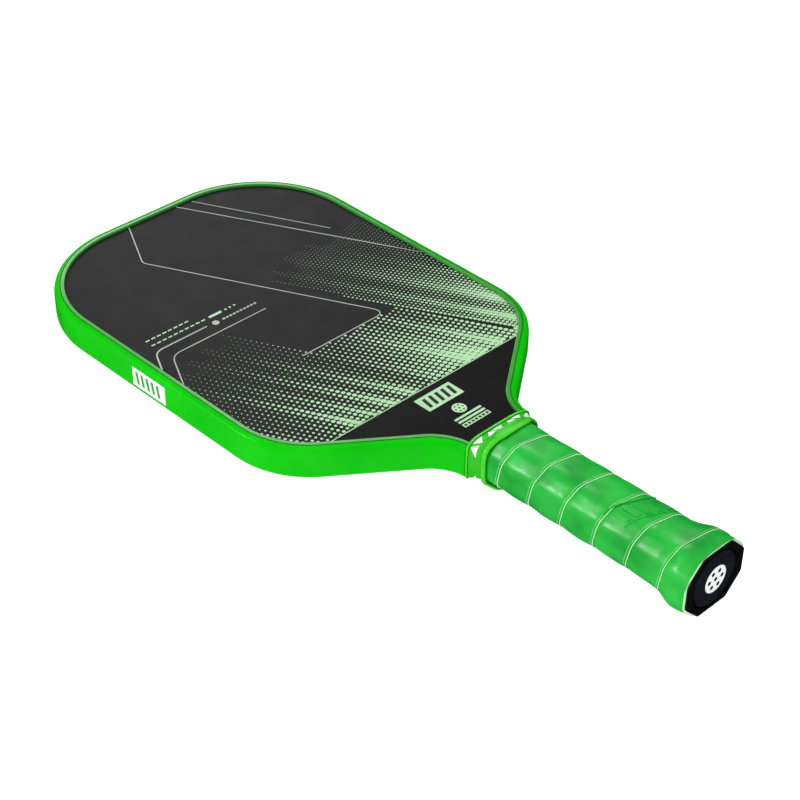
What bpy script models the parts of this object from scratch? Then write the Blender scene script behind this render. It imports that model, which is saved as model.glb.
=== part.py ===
"""Pickleball paddle: a honeycomb panel between two carbon faces, an edge guard, and a wrapped handle.

Metres. X is the width, Y runs from the butt to the tip, and Z is normal to the striking faces.
The origin is the centre of the whole paddle. The dimensions below are in millimetres and measured
from the butt end, because that is how a paddle is dimensioned: `to_metres` moves them to the frame.
"""

import math

import bmesh
import bpy
from mathutils import Vector

MM = 0.001

# Driving dimensions, in millimetres.
LENGTH = 419.1              # butt to tip, 16.5 in
WIDTH = 190.5               # across the head, 7.5 in
PANEL_THICKNESS = 16.0      # face to face
GUARD_THICKNESS = 19.2      # over both lips of the edge guard
HANDLE_LENGTH = 142.0       # butt to the collar's head end, where the playing face starts
GRIP_WIDTH = 34.0           # octagon across X, over the grip
GRIP_HEIGHT = 30.0          # octagon across Z, over the grip
CAP_WIDTH = 40.4            # the butt cap's end octagon
CAP_HEIGHT = 34.1
GAP = 0.3                   # clearance that stands for each glued or taped joint

# The visible face ends at the guard's lip; every layer's outline is this window, offset.
LIP_WIDTH = 5.95            # from the window out to the guard's outer side
WINDOW_TOP = LENGTH - LIP_WIDTH
WINDOW_HALF = WIDTH / 2 - LIP_WIDTH
CORNER_RADIUS = 60.0        # the head's two upper corners
SHOULDER_RADIUS = 45.0      # where a side turns in towards the handle
THROAT_RADIUS = 32.0        # the hollow curve above the collar
WINDOW_SIDE_FOOT = 88.5     # half width at the foot of the sides, which taper slightly
SHOULDER_CORNER_Y = 202.0   # where the side's line and the shoulder's line meet
SHOULDER_ANGLE = math.radians(35.6)     # the shoulder's slope from the X axis
THROAT_ANGLE = math.radians(73.0)       # the window's direction at the foot of that curve
THROAT_FOOT = (16.9, 144.8)             # where that curve ends
THROAT_HALF = 16.0          # the window's half width at the collar

# Layers of the panel, each as half thicknesses out from the middle plane.
SKIN_OUTER = PANEL_THICKNESS / 2
SKIN_THICKNESS = 0.6
SKIN_INNER = SKIN_OUTER - SKIN_THICKNESS
SCRIM_THICKNESS = 0.3
SCRIM_OUTER = SKIN_INNER - GAP
SCRIM_INNER = SCRIM_OUTER - SCRIM_THICKNESS
CORE_HALF = SCRIM_INNER - GAP

STRIKING_HALF_WIDTH = 75.0  # the striking flat, which stays clear of the guard's lip all round
STRIKING_REACH = (215.0, 385.0)
STRIKING_STEP = 0.02        # it stands this much proud of the skin's margin
STRIKING_BEVEL = 0.3        # width over which it rises

# Offsets from the window, outward positive.
PANEL_EDGE = 3.75
GUARD_TAPE_THICKNESS = 0.2
GUARD_TAPE_INNER = PANEL_EDGE + GAP
GUARD_TAPE_OUTER = GUARD_TAPE_INNER + GUARD_TAPE_THICKNESS
GUARD_WALL_INNER = GUARD_TAPE_OUTER + GAP
FOAM_WIDTH = 10.0           # of the foam wall round the head
FOAM_INNER = PANEL_EDGE - FOAM_WIDTH
CORE_EDGE = FOAM_INNER - GAP

# Honeycomb cells. A real core's cells are about 8 mm; these keep its structure with fewer cells.
CELL_PITCH = 12.5
CELL_SIZE = 11.2            # across flats, so that the walls between cells are 1.3 mm
CELL_MARGIN = 1.5           # of solid core left at its edge

# The tang is the panel's tongue, which runs down the handle.
TANG_HALF = 9.0
TANG_END = 4.2
NECK_HALF = 16.2            # the short neck inside the collar's head end
NECK_FOOT = 139.3           # where the neck narrows to the tang

# Handle pallets.
GRIP_THICKNESS = 1.5
BARE_HALF_WIDTH = GRIP_WIDTH / 2 - GRIP_THICKNESS - GAP
BARE_HALF_HEIGHT = GRIP_HEIGHT / 2 - GRIP_THICKNESS - GAP
HANDLE_TAPE_THICKNESS = 0.2
CHANNEL_HALF_WIDTH = TANG_HALF + GAP
CHANNEL_HALF_HEIGHT = SKIN_OUTER + GAP + HANDLE_TAPE_THICKNESS + GAP
REBATE = 1.0                # the pallets are reduced this much under the cap's skirt
REBATE_CHAMFER = 0.4
PALLET_FOOT = 3.8
PALLET_SHOULDER = 131.0     # above this the pallets slope down to the face
PALLET_TOP = 137.4
PALLET_TOP_HALF_HEIGHT = 10.4
PALLET_TOP_BEVEL = (4.0, 3.0)

# Butt cap.
CAP_FLANGE = 0.9            # thickness of the end's rim, which the grip runs up to
CAP_PLATE = 3.5             # end plate, to the floor inside the skirt
SKIRT_END = 27.0
RECESS_RADIUS = 15.9
RECESS_DEPTH = 1.9
MEDALLION_RADIUS = 14.75
MEDALLION_DOME = 0.5
PAD_THICKNESS = 0.2

# Cap staples: a crown under the grip and two legs through the skirt into a pallet.
STAPLE_Y = 9.0
STAPLE_SPAN = 7.0
STAPLE_WIRE = 0.7
STAPLE_LEG_END = 9.8        # height at which the legs end, inside the pallet
STAPLE_CROWN_TOP = 13.9

# Grip.
GRIP_START = CAP_FLANGE + GAP
GRIP_END = 131.0
GRIP_PITCH = 20.5           # the advance of the strip in one turn
GRIP_SEAM_Y = 15.0          # the lowest seam's place at the middle of the front flat
SEAM_SHARE = 0.25           # the front flat's middle, as a share of a turn from the right side
GRIP_TIP = 2.0              # width at which the strip's tapered ends are cut

# Finishing tape and collar.
TAPE_START = 128.6
TAPE_END = 132.0
TAPE_THICKNESS = 0.15
TAPE_GAP = 0.2
COLLAR_START = 127.6
COLLAR_WAIST = 132.4        # above this the sleeve slopes from the octagon to the throat
COLLAR_WALL = 0.9
COLLAR_HEAD_WIDTH = 43.0    # across the head end, without its rib
COLLAR_HEAD_HEIGHT = 20.0
COLLAR_MOUTH_WIDTH = 37.2   # the bore's head end, round the panel's neck
COLLAR_MOUTH_HEIGHT = 16.8
THICK_RIB = 0.55
THICK_RIB_WIDTH = 3.2
THIN_RIB = 0.45
THIN_RIB_WIDTH = 1.6

ARC_STEP = math.radians(6.0)    # of the outline's arcs
SIDE_STEPS = 4                  # along each long side
RING_POINTS = 40                # round the medallion and its recess

HALF_LENGTH = LENGTH / 2


def to_metres(x, y, z):
    """A point in millimetres from the butt end, as a point of the frame in metres."""
    return Vector((x * MM, (y - HALF_LENGTH) * MM, z * MM))


def clear_scene():
    for thing in list(bpy.data.objects):
        bpy.data.objects.remove(thing, do_unlink=True)


def material(name, colour, roughness, metallic=0.0):
    made = bpy.data.materials.new(name)
    made.use_nodes = True
    shader = made.node_tree.nodes["Principled BSDF"]
    shader.inputs["Base Color"].default_value = (*colour, 1.0)
    shader.inputs["Roughness"].default_value = roughness
    shader.inputs["Metallic"].default_value = metallic
    return made


def add_object(name, bm, surface, smooth_angle=None):
    """Turn a bmesh into a named object with outward normals."""
    bmesh.ops.recalc_face_normals(bm, faces=bm.faces)
    if bm.calc_volume(signed=True) < 0:
        bmesh.ops.reverse_faces(bm, faces=bm.faces)
    mesh = bpy.data.meshes.new(name)
    bm.to_mesh(mesh)
    bm.free()
    mesh.materials.append(surface)
    if smooth_angle is not None:
        mesh.shade_smooth()
        mesh.set_sharp_from_angle(angle=smooth_angle)
    thing = bpy.data.objects.new(name, mesh)
    bpy.context.scene.collection.objects.link(thing)
    return thing


# ---------------------------------------------------------------- outlines

def arc_normals(start, end):
    """Outward normals, as angles, evenly spaced along an arc of the outline."""
    steps = max(2, round(abs(end - start) / ARC_STEP))
    return [start + (end - start) * i / steps for i in range(steps + 1)]


def window_right_half():
    """The face window's right half as (point, outward normal) pairs, from the top to the collar."""
    taper = math.atan2(WINDOW_HALF - WINDOW_SIDE_FOOT, WINDOW_TOP - CORNER_RADIUS - SHOULDER_CORNER_Y)
    corner = Vector((WINDOW_HALF - CORNER_RADIUS, WINDOW_TOP - CORNER_RADIUS))
    shoulder_normal = SHOULDER_ANGLE - math.pi / 2
    throat_normal = THROAT_ANGLE - math.pi / 2

    # The shoulder's arc touches the side's line and the shoulder's line.
    turn = -taper - shoulder_normal
    tangent = SHOULDER_RADIUS * math.tan(turn / 2)
    along_side = Vector((math.sin(taper), math.cos(taper)))
    inward = Vector((-math.cos(taper), math.sin(taper)))
    side_foot = Vector((WINDOW_SIDE_FOOT, SHOULDER_CORNER_Y)) + along_side * tangent
    shoulder = side_foot + inward * SHOULDER_RADIUS
    # The throat's arc curves the other way, and ends just above the collar.
    throat = Vector(THROAT_FOOT)
    throat += Vector((math.cos(throat_normal), math.sin(throat_normal))) * THROAT_RADIUS

    path = [(Vector((0.0, WINDOW_TOP)), math.pi / 2)]
    for angle in arc_normals(math.pi / 2, -taper):
        path.append((corner + Vector((math.cos(angle), math.sin(angle))) * CORNER_RADIUS, angle))
    side_top = path[-1][0]
    for i in range(1, SIDE_STEPS):
        path.append((side_top.lerp(side_foot, i / SIDE_STEPS), -taper))
    for angle in arc_normals(-taper, shoulder_normal):
        path.append((shoulder + Vector((math.cos(angle), math.sin(angle))) * SHOULDER_RADIUS, angle))
    for angle in arc_normals(shoulder_normal, throat_normal):
        path.append((throat - Vector((math.cos(angle), math.sin(angle))) * THROAT_RADIUS, angle))
    path.append((Vector((THROAT_HALF, HANDLE_LENGTH + GAP)), 0.0))
    return path


def window_path():
    """The whole window, left end of the collar round the top to the right end."""
    right = window_right_half()
    left = [(Vector((-p.x, p.y)), math.pi - a) for p, a in right[1:]]
    return left[::-1] + right


def offset_path(distance):
    return [p + Vector((math.cos(a), math.sin(a))) * distance for p, a in window_path()]


def panel_outline(edge, tail_right):
    """A layer's outline: the head, offset from the window, and a tail that runs into the handle."""
    tail_left = [(-x, y) for x, y in tail_right[::-1]]
    return offset_path(edge) + [Vector(p) for p in tail_right + tail_left]


# ---------------------------------------------------------------- solids

def add_loop(bm, points, z):
    verts = [bm.verts.new(to_metres(p.x, p.y, z)) for p in points]
    return [bm.edges.new((a, b)) for a, b in zip(verts, verts[1:] + verts[:1])]


def plate(name, outline, low, high, surface, holes=()):
    """A flat plate between two heights, with through holes."""
    bm = bmesh.new()
    for loop in (outline, *holes):
        add_loop(bm, loop, low)
    bmesh.ops.triangle_fill(bm, use_beauty=True, edges=bm.edges[:], normal=(0, 0, 1))
    walls = bmesh.ops.extrude_face_region(bm, geom=bm.faces[:])
    top = [v for v in walls["geom"] if isinstance(v, bmesh.types.BMVert)]
    bmesh.ops.translate(bm, verts=top, vec=(0, 0, (high - low) * MM))
    return add_object(name, bm, surface)


def make_skin(name, outline, side, surface):
    """A face sheet on the front (1) or the back (-1), whose striking flat stands a hair proud."""
    bm = bmesh.new()
    striking = rectangle(STRIKING_HALF_WIDTH, *STRIKING_REACH)
    crest = rectangle(
        STRIKING_HALF_WIDTH - STRIKING_BEVEL,
        STRIKING_REACH[0] + STRIKING_BEVEL,
        STRIKING_REACH[1] - STRIKING_BEVEL,
    )
    outer = SKIN_OUTER * side
    rims = [add_loop(bm, loop, outer) for loop in (outline, striking)]
    bmesh.ops.triangle_fill(bm, use_beauty=True, edges=rims[0] + rims[1], normal=(0, 0, side))
    top = add_loop(bm, crest, outer + STRIKING_STEP * side)
    bmesh.ops.bridge_loops(bm, edges=rims[1] + top)
    bmesh.ops.triangle_fill(bm, use_beauty=True, edges=top, normal=(0, 0, side))
    under = add_loop(bm, outline, SKIN_INNER * side)
    bmesh.ops.triangle_fill(bm, use_beauty=True, edges=under, normal=(0, 0, -side))
    bmesh.ops.bridge_loops(bm, edges=rims[0] + under)
    return add_object(name, bm, surface)


def loft(name, loops, surface, smooth_angle=None, closed=False):
    """A solid through loops of equal length; closed joins the last to the first instead of capping."""
    bm = bmesh.new()
    rows = [[bm.verts.new(p) for p in loop] for loop in loops]
    pairs = list(zip(rows, rows[1:]))
    if closed:
        pairs.append((rows[-1], rows[0]))
    for row, after in pairs:
        for i in range(len(row)):
            j = (i + 1) % len(row)
            bm.faces.new((row[i], row[j], after[j], after[i]))
    if not closed:
        bm.faces.new(rows[0][::-1])
        bm.faces.new(rows[-1])
    return add_object(name, bm, surface, smooth_angle)


def cut(thing, cutter):
    """Subtract a cutter, which stays in the scene as a hidden guide."""
    cutter.hide_render = True
    cutter.display_type = "WIRE"
    modifier = thing.modifiers.new(cutter.name, "BOOLEAN")
    modifier.operation = "DIFFERENCE"
    modifier.solver = "EXACT"
    modifier.object = cutter


def octagon(half_width, half_height, bevel_x, bevel_z, round_share=0.22, points=3):
    """A handle section with rounded corners, as (x, z) pairs anticlockwise from the right side."""
    corners = [
        (half_width, half_height - bevel_z), (half_width - bevel_x, half_height),
        (bevel_x - half_width, half_height), (-half_width, half_height - bevel_z),
        (-half_width, bevel_z - half_height), (bevel_x - half_width, -half_height),
        (half_width - bevel_x, -half_height), (half_width, bevel_z - half_height),
    ]
    section = []
    for i, corner in enumerate(corners):
        here = Vector(corner)
        before = here.lerp(Vector(corners[i - 1]), round_share)
        after = here.lerp(Vector(corners[(i + 1) % len(corners)]), round_share)
        for j in range(points):
            t = j / (points - 1)
            section.append(before.lerp(here, t).lerp(here.lerp(after, t), t))
    return section


def grown(section, distance):
    """A convex section offset outward by a distance, point by point."""
    out = []
    for i, point in enumerate(section):
        along = section[(i + 1) % len(section)] - section[i - 1]
        out.append(point + Vector((along.y, -along.x)).normalized() * distance)
    return out


def at_height(section, y):
    return [to_metres(p.x, y, p.y) for p in section]


# ---------------------------------------------------------------- handle shape

def flare(y):
    """How far the handle has swollen towards the butt: 0 on the straight part, 1 at the end."""
    run = max(0.0, 1.0 - y / SKIRT_END)
    return run * run


def handle_section(y, grow=0.0):
    """The octagon that the grip lies on, at a height, with the cap's flare."""
    f = flare(y)
    half_width = BARE_HALF_WIDTH + f * (CAP_WIDTH - GRIP_WIDTH) / 2
    half_height = BARE_HALF_HEIGHT + f * (CAP_HEIGHT - GRIP_HEIGHT) / 2
    section = octagon(half_width, half_height, 0.5 * half_width, 0.56 * half_height)
    return grown(section, grow)


def reduced_section():
    """The pallets' rebated octagon under the cap's skirt."""
    return grown(handle_section(SKIRT_END), -REBATE)


# ---------------------------------------------------------------- the panel

def hexagon(centre):
    radius = CELL_SIZE / math.sqrt(3)
    return [
        centre + Vector((math.cos(k * math.pi / 3), math.sin(k * math.pi / 3))) * radius
        for k in range(6)
    ]


def inside(outline, point, margin):
    """True where a point lies in an outline with a margin to every side of it."""
    odd = False
    for a, b in zip(outline, outline[1:] + outline[:1]):
        if (a.y > point.y) != (b.y > point.y):
            if point.x < a.x + (point.y - a.y) * (b.x - a.x) / (b.y - a.y):
                odd = not odd
        side = b - a
        share = max(0.0, min(1.0, (point - a).dot(side) / max(side.length_squared, 1e-12)))
        if (a + side * share - point).length < margin:
            return False
    return odd


def cell_holes(outline):
    """The honeycomb's cells: every hexagon of the lattice that lies whole in the core."""
    column_step = CELL_PITCH * math.sqrt(3) / 2
    columns = math.ceil(WINDOW_HALF / column_step)
    rows = math.ceil(LENGTH / CELL_PITCH)
    holes = []
    for column in range(-columns, columns + 1):
        for row in range(rows):
            y = CELL_PITCH * (row + 0.5 * (column % 2)) + CELL_PITCH
            cell = hexagon(Vector((column * column_step, y)))
            if all(inside(outline, corner, CELL_MARGIN) for corner in cell):
                holes.append(cell)
    return holes


def make_core(surface):
    tail = [(TANG_HALF, HANDLE_LENGTH), (TANG_HALF, TANG_END)]
    outline = panel_outline(CORE_EDGE, tail)
    plate("honeycomb_core", outline, -CORE_HALF, CORE_HALF, surface, cell_holes(outline))


def make_foam(surface):
    """The foam wall round the head, open where the tang leaves it."""
    band = offset_path(PANEL_EDGE) + offset_path(FOAM_INNER)[::-1]
    plate("perimeter_foam", band, -CORE_HALF, CORE_HALF, surface)


def make_layers(scrim, skin):
    neck = HANDLE_LENGTH + GAP
    tail = [(NECK_HALF, neck), (NECK_HALF, NECK_FOOT), (TANG_HALF, NECK_FOOT), (TANG_HALF, TANG_END)]
    outline = panel_outline(PANEL_EDGE, tail)
    plate("front_scrim", outline, SCRIM_INNER, SCRIM_OUTER, scrim)
    plate("back_scrim", outline, -SCRIM_OUTER, -SCRIM_INNER, scrim)
    make_skin("front_skin", outline, 1, skin)
    make_skin("back_skin", outline, -1, skin)


def guard_section():
    """The guard's U, as (offset from the window, z) pairs: outer side, then round the inside."""
    lip_top = GUARD_THICKNESS / 2
    lip_under = SKIN_OUTER + GAP
    upper = [
        (0.0, lip_under), (0.0, lip_top - 0.5), (0.5, lip_top - 0.1), (3.4, lip_top),
        (4.9, lip_top - 0.6), (5.7, lip_top - 1.7), (LIP_WIDTH, lip_top - 3.4),
    ]
    lower = [(d, -z) for d, z in upper[::-1]]
    return upper + lower + [(GUARD_WALL_INNER, -lip_under), (GUARD_WALL_INNER, lip_under)]


def swept(name, section, surface, smooth_angle=None):
    """A section carried along the window's path, with its ends at the collar."""
    loops = []
    for point, angle in window_path():
        out = Vector((math.cos(angle), math.sin(angle)))
        loops.append([to_metres(*(point + out * d), z) for d, z in section])
    loft(name, loops, surface, smooth_angle)


def make_guard(guard, tape):
    swept("edge_guard", guard_section(), guard, math.radians(35))
    strip = [
        (GUARD_TAPE_INNER, -CORE_HALF), (GUARD_TAPE_OUTER, -CORE_HALF),
        (GUARD_TAPE_OUTER, CORE_HALF), (GUARD_TAPE_INNER, CORE_HALF),
    ]
    swept("edge_guard_tape", strip, tape)


# ---------------------------------------------------------------- the handle

def pallet_loop(section, y, side):
    """Half of a handle section with the tang's channel, on the front (1) or the back (-1)."""
    split = GAP / 2
    arch = [p for p in section if p.y > 0]
    loop = [Vector((arch[0].x, split))] + arch + [Vector((arch[-1].x, split))]
    loop += [
        Vector((-CHANNEL_HALF_WIDTH, split)), Vector((-CHANNEL_HALF_WIDTH, CHANNEL_HALF_HEIGHT)),
        Vector((CHANNEL_HALF_WIDTH, CHANNEL_HALF_HEIGHT)), Vector((CHANNEL_HALF_WIDTH, split)),
    ]
    return [to_metres(p.x, y, p.y * side) for p in loop]


def make_pallet(name, side, surface):
    straight = handle_section(SKIRT_END)
    step = SKIRT_END + GAP
    stations = [
        (reduced_section(), PALLET_FOOT), (reduced_section(), step),
        (straight, step + REBATE_CHAMFER), (straight, PALLET_SHOULDER),
        (octagon(BARE_HALF_WIDTH, PALLET_TOP_HALF_HEIGHT, *PALLET_TOP_BEVEL), PALLET_TOP),
    ]
    return loft(name, [pallet_loop(s, y, side) for s, y in stations], surface)


def rectangle(half_width, low_y, high_y):
    return [
        Vector((-half_width, low_y)), Vector((half_width, low_y)),
        Vector((half_width, high_y)), Vector((-half_width, high_y)),
    ]


def make_handle_tapes(surface):
    sheet = rectangle(TANG_HALF - 1.0, TANG_END, PALLET_TOP - 1.0)
    low = SKIN_OUTER + GAP
    high = low + HANDLE_TAPE_THICKNESS
    plate("handle_tape_front", sheet, low, high, surface)
    plate("handle_tape_back", sheet, -high, -low, surface)


# ---------------------------------------------------------------- the butt cap

def turned(name, profile, surface, smooth_angle=math.radians(40)):
    """A disc turned about the handle's axis from (radius, y) pairs; its first and last are poles."""
    bm = bmesh.new()
    rows = []
    for radius, y in profile[1:-1]:
        turn = [2 * math.pi * k / RING_POINTS for k in range(RING_POINTS)]
        rows.append([bm.verts.new(to_metres(radius * math.cos(a), y, radius * math.sin(a))) for a in turn])
    for row, after in zip(rows, rows[1:]):
        for i in range(RING_POINTS):
            j = (i + 1) % RING_POINTS
            bm.faces.new((row[i], row[j], after[j], after[i]))
    for row, (_, y) in ((rows[0], profile[0]), (rows[-1], profile[-1])):
        pole = bm.verts.new(to_metres(0.0, y, 0.0))
        for i in range(RING_POINTS):
            bm.faces.new((row[i], row[(i + 1) % RING_POINTS], pole))
    return add_object(name, bm, surface, smooth_angle)


def cap_end_section():
    """The end plate's octagon, with nearly sharp corners."""
    return octagon(CAP_WIDTH / 2, CAP_HEIGHT / 2, 0.5 * CAP_WIDTH / 2, 0.6 * CAP_HEIGHT / 2, 0.06)


def make_cap(surface):
    """The cap: an end plate with a rim, and a flared skirt that slides over the pallets."""
    bore = grown(reduced_section(), GAP)
    skirt = [handle_section(y) for y in (CAP_FLANGE, 4.0, 8.0, 13.0, 19.0)]
    heights = [CAP_FLANGE, 4.0, 8.0, 13.0, 19.0]
    loops = [at_height(cap_end_section(), 0.0), at_height(cap_end_section(), CAP_FLANGE)]
    loops += [at_height(s, y) for s, y in zip(skirt, heights)]
    loops += [at_height(handle_section(SKIRT_END), SKIRT_END)]
    loops += [at_height(bore, SKIRT_END), at_height(bore, CAP_PLATE)]
    cap = loft("butt_cap", loops, surface, math.radians(30))
    recess = turned(
        "recess_cutter",
        [(0.0, -2.0), (RECESS_RADIUS, -2.0), (RECESS_RADIUS, RECESS_DEPTH), (0.0, RECESS_DEPTH)],
        surface,
    )
    cut(cap, recess)
    return cap


def make_medallion(surface, adhesive):
    back = RECESS_DEPTH - GAP - PAD_THICKNESS - GAP
    rim = 0.5
    dome = [
        (MEDALLION_RADIUS * share, rim - MEDALLION_DOME * (1 - share * share))
        for share in (0.95, 0.75, 0.5, 0.25)
    ]
    profile = [(0.0, back), (MEDALLION_RADIUS, back), (MEDALLION_RADIUS, rim + 0.2)]
    profile += dome + [(0.0, rim - MEDALLION_DOME)]
    turned("butt_medallion", profile, surface)
    low = back + GAP
    radius = MEDALLION_RADIUS - 1.0
    turned(
        "medallion_pad",
        [(0.0, low), (radius, low), (radius, low + PAD_THICKNESS), (0.0, low + PAD_THICKNESS)],
        adhesive,
    )


def staple_outline(grow):
    """The staple seen along the handle, as (x, z) pairs, grown by a clearance."""
    outer = STAPLE_SPAN / 2 + grow
    inner = STAPLE_SPAN / 2 - STAPLE_WIRE - grow
    top = STAPLE_CROWN_TOP + grow
    under = STAPLE_CROWN_TOP - STAPLE_WIRE - grow
    end = STAPLE_LEG_END - grow
    return [
        (-outer, end), (-inner, end), (-inner, under), (inner, under),
        (inner, end), (outer, end), (outer, top), (-outer, top),
    ]


def staple_solid(name, side, grow, surface):
    half = STAPLE_WIRE / 2 + grow
    loops = [
        [to_metres(x, y, z * side) for x, z in staple_outline(grow)]
        for y in (STAPLE_Y - half, STAPLE_Y + half)
    ]
    return loft(name, loops, surface)


def make_staples(cap, pallets, surface):
    """Both staples, with clearance cut for them in the cap's skirt and in the pallets."""
    for name, side in (("front", 1), ("back", -1)):
        staple_solid("cap_staple_" + name, side, 0.0, surface)
        slot = staple_solid("staple_cutter_" + name, side, GAP, surface)
        cut(cap, slot)
        cut(pallets[name], slot)


# ---------------------------------------------------------------- grip and collar

def make_grip(surface):
    """The strip: a flat ribbon wound in a helix, cut square where the grip starts and ends."""
    shares = [math.atan2(p.y, p.x) % (2 * math.pi) / (2 * math.pi) for p in handle_section(SKIRT_END)]
    loops = []
    for lap in range(math.ceil(GRIP_END / GRIP_PITCH) + 2):
        for corner, share in enumerate(shares):
            upper = GRIP_SEAM_Y + GRIP_PITCH * (lap - 1 + share - SEAM_SHARE)
            high = min(upper, GRIP_END)
            low = max(upper - GRIP_PITCH + GAP, GRIP_START)
            if high - low < GRIP_TIP:
                continue
            heights = (low, (low + high) / 2, high)
            inner = [(handle_section(y, GAP)[corner], y) for y in heights]
            outer = [(handle_section(y, GAP + GRIP_THICKNESS)[corner], y) for y in heights]
            loops.append([to_metres(p.x, y, p.y) for p, y in inner + outer[::-1]])
    loft("grip_wrap", loops, surface, math.radians(40))


def make_finishing_tape(surface):
    inner = handle_section(SKIRT_END, GAP + GRIP_THICKNESS + TAPE_GAP)
    outer = grown(inner, TAPE_THICKNESS)
    ends = [(inner, TAPE_START), (outer, TAPE_START), (outer, TAPE_END), (inner, TAPE_END)]
    loft("finishing_tape", [at_height(s, y) for s, y in ends], surface, math.radians(30), closed=True)


def make_collar(surface):
    """The rubber sleeve: the handle's octagon at its foot, a rounded oblong round the throat above."""
    foot = handle_section(SKIRT_END, GAP + GRIP_THICKNESS + TAPE_GAP + TAPE_THICKNESS + TAPE_GAP)
    head = octagon(COLLAR_HEAD_WIDTH / 2, COLLAR_HEAD_HEIGHT / 2, 2.5, 2.5)
    mouth = octagon(COLLAR_MOUTH_WIDTH / 2, COLLAR_MOUTH_HEIGHT / 2, 1.5, 1.5)
    foot_outer = grown(foot, COLLAR_WALL)
    rib_top = COLLAR_START + THICK_RIB_WIDTH
    rib_foot = HANDLE_LENGTH - THIN_RIB_WIDTH
    bevel = 0.5
    outer = [
        (grown(foot_outer, THICK_RIB / 2), COLLAR_START),
        (grown(foot_outer, THICK_RIB), COLLAR_START + bevel),
        (grown(foot_outer, THICK_RIB), rib_top - bevel),
        (foot_outer, rib_top),
        (foot_outer, COLLAR_WAIST),
        (head, rib_foot - bevel),
        (grown(head, THIN_RIB), rib_foot),
        (grown(head, THIN_RIB), HANDLE_LENGTH),
    ]
    bore = [(mouth, HANDLE_LENGTH), (mouth, rib_foot), (foot, COLLAR_WAIST), (foot, COLLAR_START)]
    loops = [at_height(s, y) for s, y in outer + bore]
    loft("collar", loops, surface, math.radians(30), closed=True)


def main():
    clear_scene()
    green = material("guard_green", (0.01, 0.50, 0.01), 0.35)
    grip_green = material("grip_green", (0.04, 0.55, 0.07), 0.32)
    black = material("face_black", (0.03, 0.03, 0.032), 0.55)
    cap_black = material("cap_black", (0.02, 0.02, 0.023), 0.4)
    core = material("core_white", (0.75, 0.76, 0.74), 0.6)
    foam = material("foam_white", (0.82, 0.80, 0.72), 0.8)
    scrim = material("scrim_grey", (0.45, 0.45, 0.43), 0.8)
    adhesive = material("adhesive", (0.70, 0.66, 0.52), 0.6)
    steel = material("staple_steel", (0.62, 0.62, 0.64), 0.3, 1.0)
    tape = material("tape_black", (0.03, 0.03, 0.03), 0.6)

    make_core(core)
    make_foam(foam)
    make_layers(scrim, black)
    make_guard(green, adhesive)
    pallets = {
        "front": make_pallet("handle_half_front", 1, foam),
        "back": make_pallet("handle_half_back", -1, foam),
    }
    make_handle_tapes(adhesive)
    cap = make_cap(cap_black)
    make_medallion(cap_black, adhesive)
    make_staples(cap, pallets, steel)
    make_grip(grip_green)
    make_finishing_tape(tape)
    make_collar(green)


main()
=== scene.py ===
"""Looks of the pickleball paddle: its moulded guard, printed faces, wound grip, collar and butt cap.

Lengths are in millimetres, measured from the butt end along Y as on the CAD model, and `at` moves
them to the frame, which is in metres. X is the width and Z is normal to the striking faces.
"""

import math

import bmesh
import bpy
from mathutils import Matrix, Quaternion, Vector, noise


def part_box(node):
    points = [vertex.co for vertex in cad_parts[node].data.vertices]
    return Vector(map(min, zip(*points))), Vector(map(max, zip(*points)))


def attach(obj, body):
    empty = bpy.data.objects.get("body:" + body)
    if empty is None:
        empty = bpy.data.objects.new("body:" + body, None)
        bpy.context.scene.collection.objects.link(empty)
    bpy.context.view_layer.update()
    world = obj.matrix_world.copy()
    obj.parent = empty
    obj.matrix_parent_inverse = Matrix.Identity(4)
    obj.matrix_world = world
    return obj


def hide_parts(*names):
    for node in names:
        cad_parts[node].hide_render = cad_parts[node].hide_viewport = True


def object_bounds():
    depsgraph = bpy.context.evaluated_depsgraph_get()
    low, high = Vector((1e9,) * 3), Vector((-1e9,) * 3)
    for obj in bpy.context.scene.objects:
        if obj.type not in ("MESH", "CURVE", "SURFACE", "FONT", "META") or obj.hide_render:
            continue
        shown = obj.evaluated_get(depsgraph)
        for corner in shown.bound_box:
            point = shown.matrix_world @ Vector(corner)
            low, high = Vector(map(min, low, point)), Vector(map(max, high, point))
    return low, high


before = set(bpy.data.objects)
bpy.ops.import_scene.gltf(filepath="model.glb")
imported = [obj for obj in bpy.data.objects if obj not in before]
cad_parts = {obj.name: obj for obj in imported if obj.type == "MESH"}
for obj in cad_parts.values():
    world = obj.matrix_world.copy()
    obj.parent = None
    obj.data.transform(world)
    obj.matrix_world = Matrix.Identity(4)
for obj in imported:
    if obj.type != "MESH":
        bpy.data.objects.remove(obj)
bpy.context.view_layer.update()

MM = 0.001

# -------- what the frame says

BUTT_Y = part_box("butt_cap")[0].y    # the butt end's place, in metres
GUARD_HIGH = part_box("edge_guard")[1]
CAP_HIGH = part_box("butt_cap")[1]


def from_butt(y):
    """A frame Y in metres as millimetres from the butt end."""
    return (y - BUTT_Y) / MM


LENGTH = from_butt(GUARD_HIGH.y)
WIDTH = 2 * GUARD_HIGH.x / MM
LIP_TOP = GUARD_HIGH.z / MM
FACE = round(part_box("front_skin")[1].z / MM, 1)  # height of the striking face
GRIP_START = from_butt(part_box("grip_wrap")[0].y)
CAP_HALF_WIDTH = CAP_HIGH.x / MM
CAP_HALF_HEIGHT = CAP_HIGH.z / MM

# -------- dimensions
# The throat, the flare, the grip's seam and the collar lie up to about 4 mm off the CAD model.

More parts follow.
